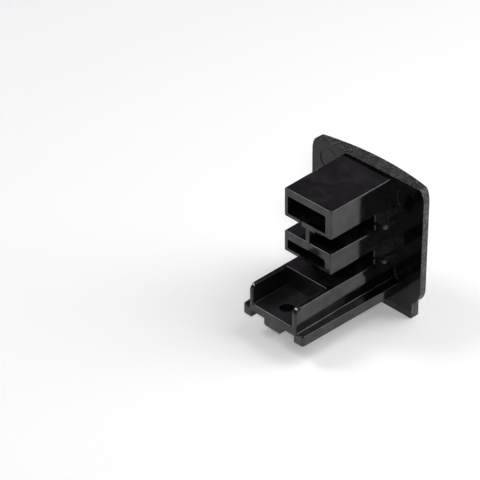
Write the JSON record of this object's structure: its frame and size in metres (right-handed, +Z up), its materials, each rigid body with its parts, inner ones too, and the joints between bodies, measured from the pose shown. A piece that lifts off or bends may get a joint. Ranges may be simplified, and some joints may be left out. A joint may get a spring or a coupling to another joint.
{
  "type": "profile end cap",
  "caption": "Moulded end cap with a bowed cover plate and an insert of square tubes over a screw tray, which closes the cut end of an extruded lighting track.",
  "frame": {"origin": "centre of the seat, which is the flat back of the cover plate, half way up the plate without its tab", "axes": "+X across the width, +Y into the profile, along the insert, +Z up, away from the screw tray"},
  "size_m": [0.036, 0.036, 0.0374],
  "materials": {
    "black_abs": "moulded black ABS, satin outer face, polished insert, fine grain on the plate's rim"
  },
  "bodies": {
    "root": {"end_cap": "black_abs"}
  },
  "joints": []
}
